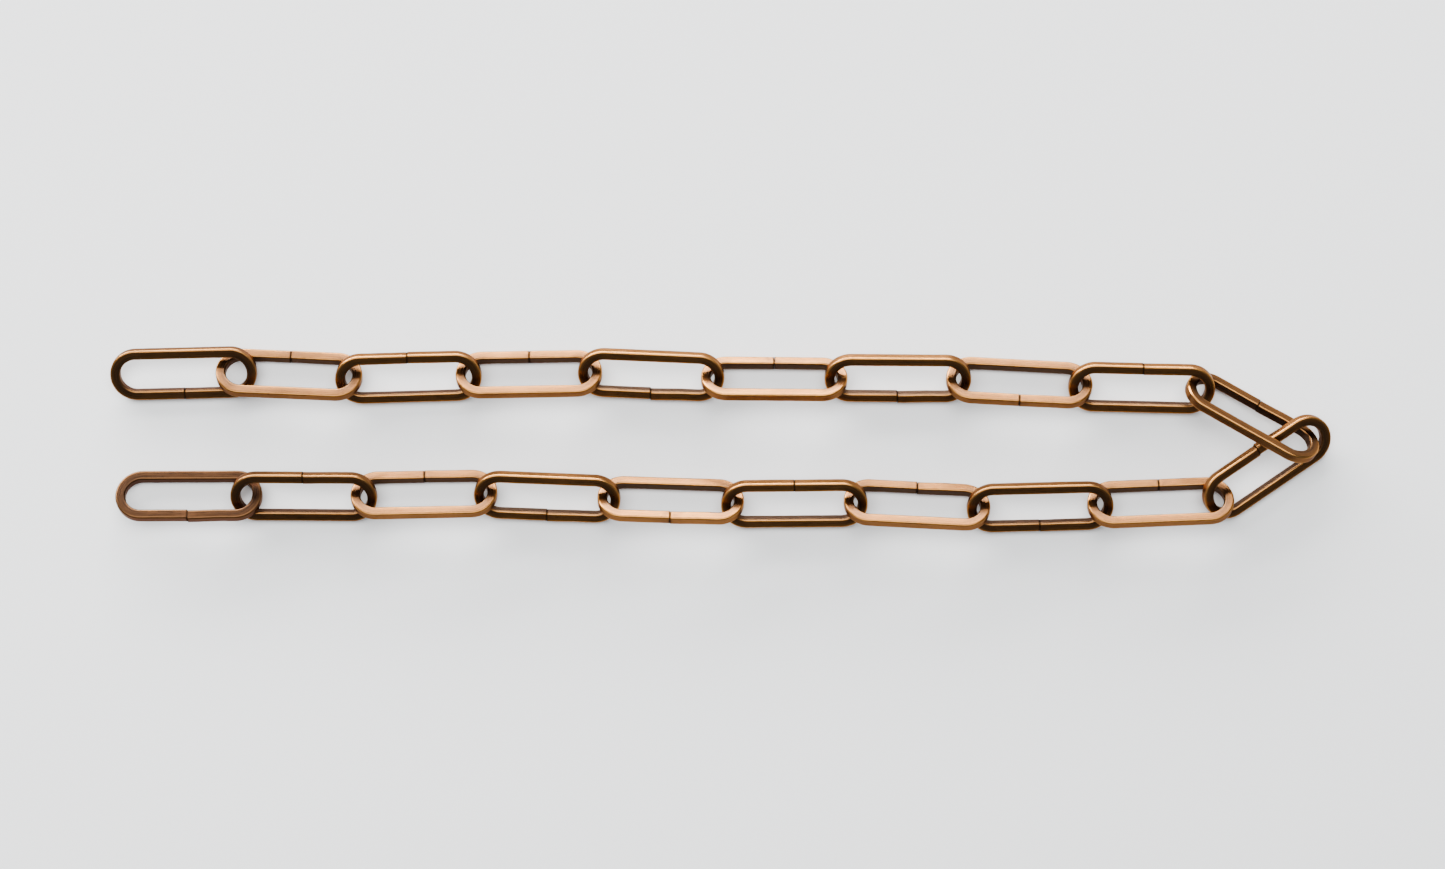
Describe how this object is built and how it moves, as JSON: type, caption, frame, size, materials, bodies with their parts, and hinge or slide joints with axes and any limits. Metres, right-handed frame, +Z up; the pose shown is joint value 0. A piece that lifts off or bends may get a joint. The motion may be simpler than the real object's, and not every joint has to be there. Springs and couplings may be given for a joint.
{
  "type": "pocket watch chain",
  "caption": "Pocket watch chain of long narrow links, each bent from square wire, laid down folded in half, with a plain open link at each end.",
  "frame": {"origin": "on the table, under the middle of the chain as it lies folded in half", "axes": "+X along the two halves towards the fold, +Y across them, +Z up from the table"},
  "size_m": [0.1666, 0.0254, 0.0065],
  "materials": {
    "antique_bronze": "satin"
  },
  "bodies": {
    "link_01": {"link_01": "antique_bronze"},
    "link_02": {"link_02": "antique_bronze"},
    "link_03": {"link_03": "antique_bronze"},
    "link_04": {"link_04": "antique_bronze"},
    "link_05": {"link_05": "antique_bronze"},
    "link_06": {"link_06": "antique_bronze"},
    "link_07": {"link_07": "antique_bronze"},
    "link_08": {"link_08": "antique_bronze"},
    "link_09": {"link_09": "antique_bronze"},
    "link_10": {"link_10": "antique_bronze"},
    "link_11": {"link_11": "antique_bronze"},
    "link_12": {"link_12": "antique_bronze"},
    "link_13": {"link_13": "antique_bronze"},
    "link_14": {"link_14": "antique_bronze"},
    "link_15": {"link_15": "antique_bronze"},
    "link_16": {"link_16": "antique_bronze"},
    "link_17": {"link_17": "antique_bronze"},
    "link_18": {"link_18": "antique_bronze"},
    "link_19": {"link_19": "antique_bronze"},
    "link_20": {"link_20": "antique_bronze"}
  },
  "joints": [
    {"name": "fold_opens", "type": "hinge", "parent": "link_11", "child": "link_10", "pos_m": [0.07976, -0.00013, 0.00213], "axis": [-0.2545, 0.3759, -0.891], "range_deg": [0, 55]},
    {"name": "link_09_swings", "type": "hinge", "parent": "link_10", "child": "link_09", "pos_m": [0.06386, 0.00686, 0.0023], "axis": [-0.0124, -0.5074, 0.8616], "range_deg": [-50, 0]},
    {"name": "link_08_swings", "type": "hinge", "parent": "link_09", "child": "link_08", "pos_m": [0.05102, 0.00717, 0.0023], "axis": [0.0124, 0.5074, -0.8616], "range_deg": [0, 50]},
    {"name": "link_07_swings", "type": "hinge", "parent": "link_08", "child": "link_07", "pos_m": [0.03061, 0.00827, 0.00256], "axis": [-0.0042, -0.5948, 0.8039], "range_deg": [-50, 0]},
    {"name": "link_06_swings", "type": "hinge", "parent": "link_07", "child": "link_06", "pos_m": [0.01776, 0.00836, 0.00256], "axis": [0.0042, 0.5948, -0.8039], "range_deg": [0, 50]},
    {"name": "link_05_swings", "type": "hinge", "parent": "link_06", "child": "link_05", "pos_m": [-0.00305, 0.00853, 0.00241], "axis": [-0.0238, -0.5441, 0.8387], "range_deg": [-50, 0]},
    {"name": "link_04_swings", "type": "hinge", "parent": "link_05", "child": "link_04", "pos_m": [-0.01589, 0.0091, 0.00241], "axis": [0.0238, 0.5441, -0.8387], "range_deg": [0, 50]},
    {"name": "link_03_swings", "type": "hinge", "parent": "link_04", "child": "link_03", "pos_m": [-0.03618, 0.00865, 0.00223], "axis": [0.0144, -0.4846, 0.8746], "range_deg": [-50, 0]},
    {"name": "link_02_swings", "type": "hinge", "parent": "link_03", "child": "link_02", "pos_m": [-0.04902, 0.00827, 0.00223], "axis": [-0.0144, 0.4846, -0.8746], "range_deg": [0, 50]},
    {"name": "link_01_swings", "type": "hinge", "parent": "link_02", "child": "link_01", "pos_m": [-0.06691, 0.0092, 0.00193], "axis": [0.0095, -0.3906, 0.9205], "range_deg": [-50, 0]},
    {"name": "link_12_swings", "type": "hinge", "parent": "link_11", "child": "link_12", "pos_m": [0.06634, -0.00841, 0.00236], "axis": [0.0213, -0.5295, -0.848], "range_deg": [-50, 0]},
    {"name": "link_13_swings", "type": "hinge", "parent": "link_12", "child": "link_13", "pos_m": [0.0535, -0.00892, 0.00236], "axis": [-0.0213, 0.5295, 0.848], "range_deg": [0, 50]},
    {"name": "link_14_swings", "type": "hinge", "parent": "link_13", "child": "link_14", "pos_m": [0.03316, -0.00929, 0.00245], "axis": [-0.0283, -0.5585, -0.829], "range_deg": [-50, 0]},
    {"name": "link_15_swings", "type": "hinge", "parent": "link_14", "child": "link_15", "pos_m": [0.02032, -0.00864, 0.00245], "axis": [0.0283, 0.5585, 0.829], "range_deg": [0, 50]},
    {"name": "link_16_swings", "type": "hinge", "parent": "link_15", "child": "link_16", "pos_m": [-0.00037, -0.00856, 0.00256], "axis": [-0.0187, -0.5945, -0.8039], "range_deg": [-50, 0]},
    {"name": "link_17_swings", "type": "hinge", "parent": "link_16", "child": "link_17", "pos_m": [-0.01321, -0.00815, 0.00256], "axis": [0.0187, 0.5945, 0.8039], "range_deg": [0, 50]},
    {"name": "link_18_swings", "type": "hinge", "parent": "link_17", "child": "link_18", "pos_m": [-0.03397, -0.00743, 0.00232], "axis": [0.0099, -0.5149, -0.8572], "range_deg": [-50, 0]},
    {"name": "link_19_swings", "type": "hinge", "parent": "link_18", "child": "link_19", "pos_m": [-0.04682, -0.00768, 0.00232], "axis": [-0.0099, 0.5149, 0.8572], "range_deg": [0, 50]},
    {"name": "link_20_swings", "type": "hinge", "parent": "link_19", "child": "link_20", "pos_m": [-0.06605, -0.00771, 0.00191], "axis": [0.0013, -0.3827, -0.9239], "range_deg": [-50, 0]}
  ]
}
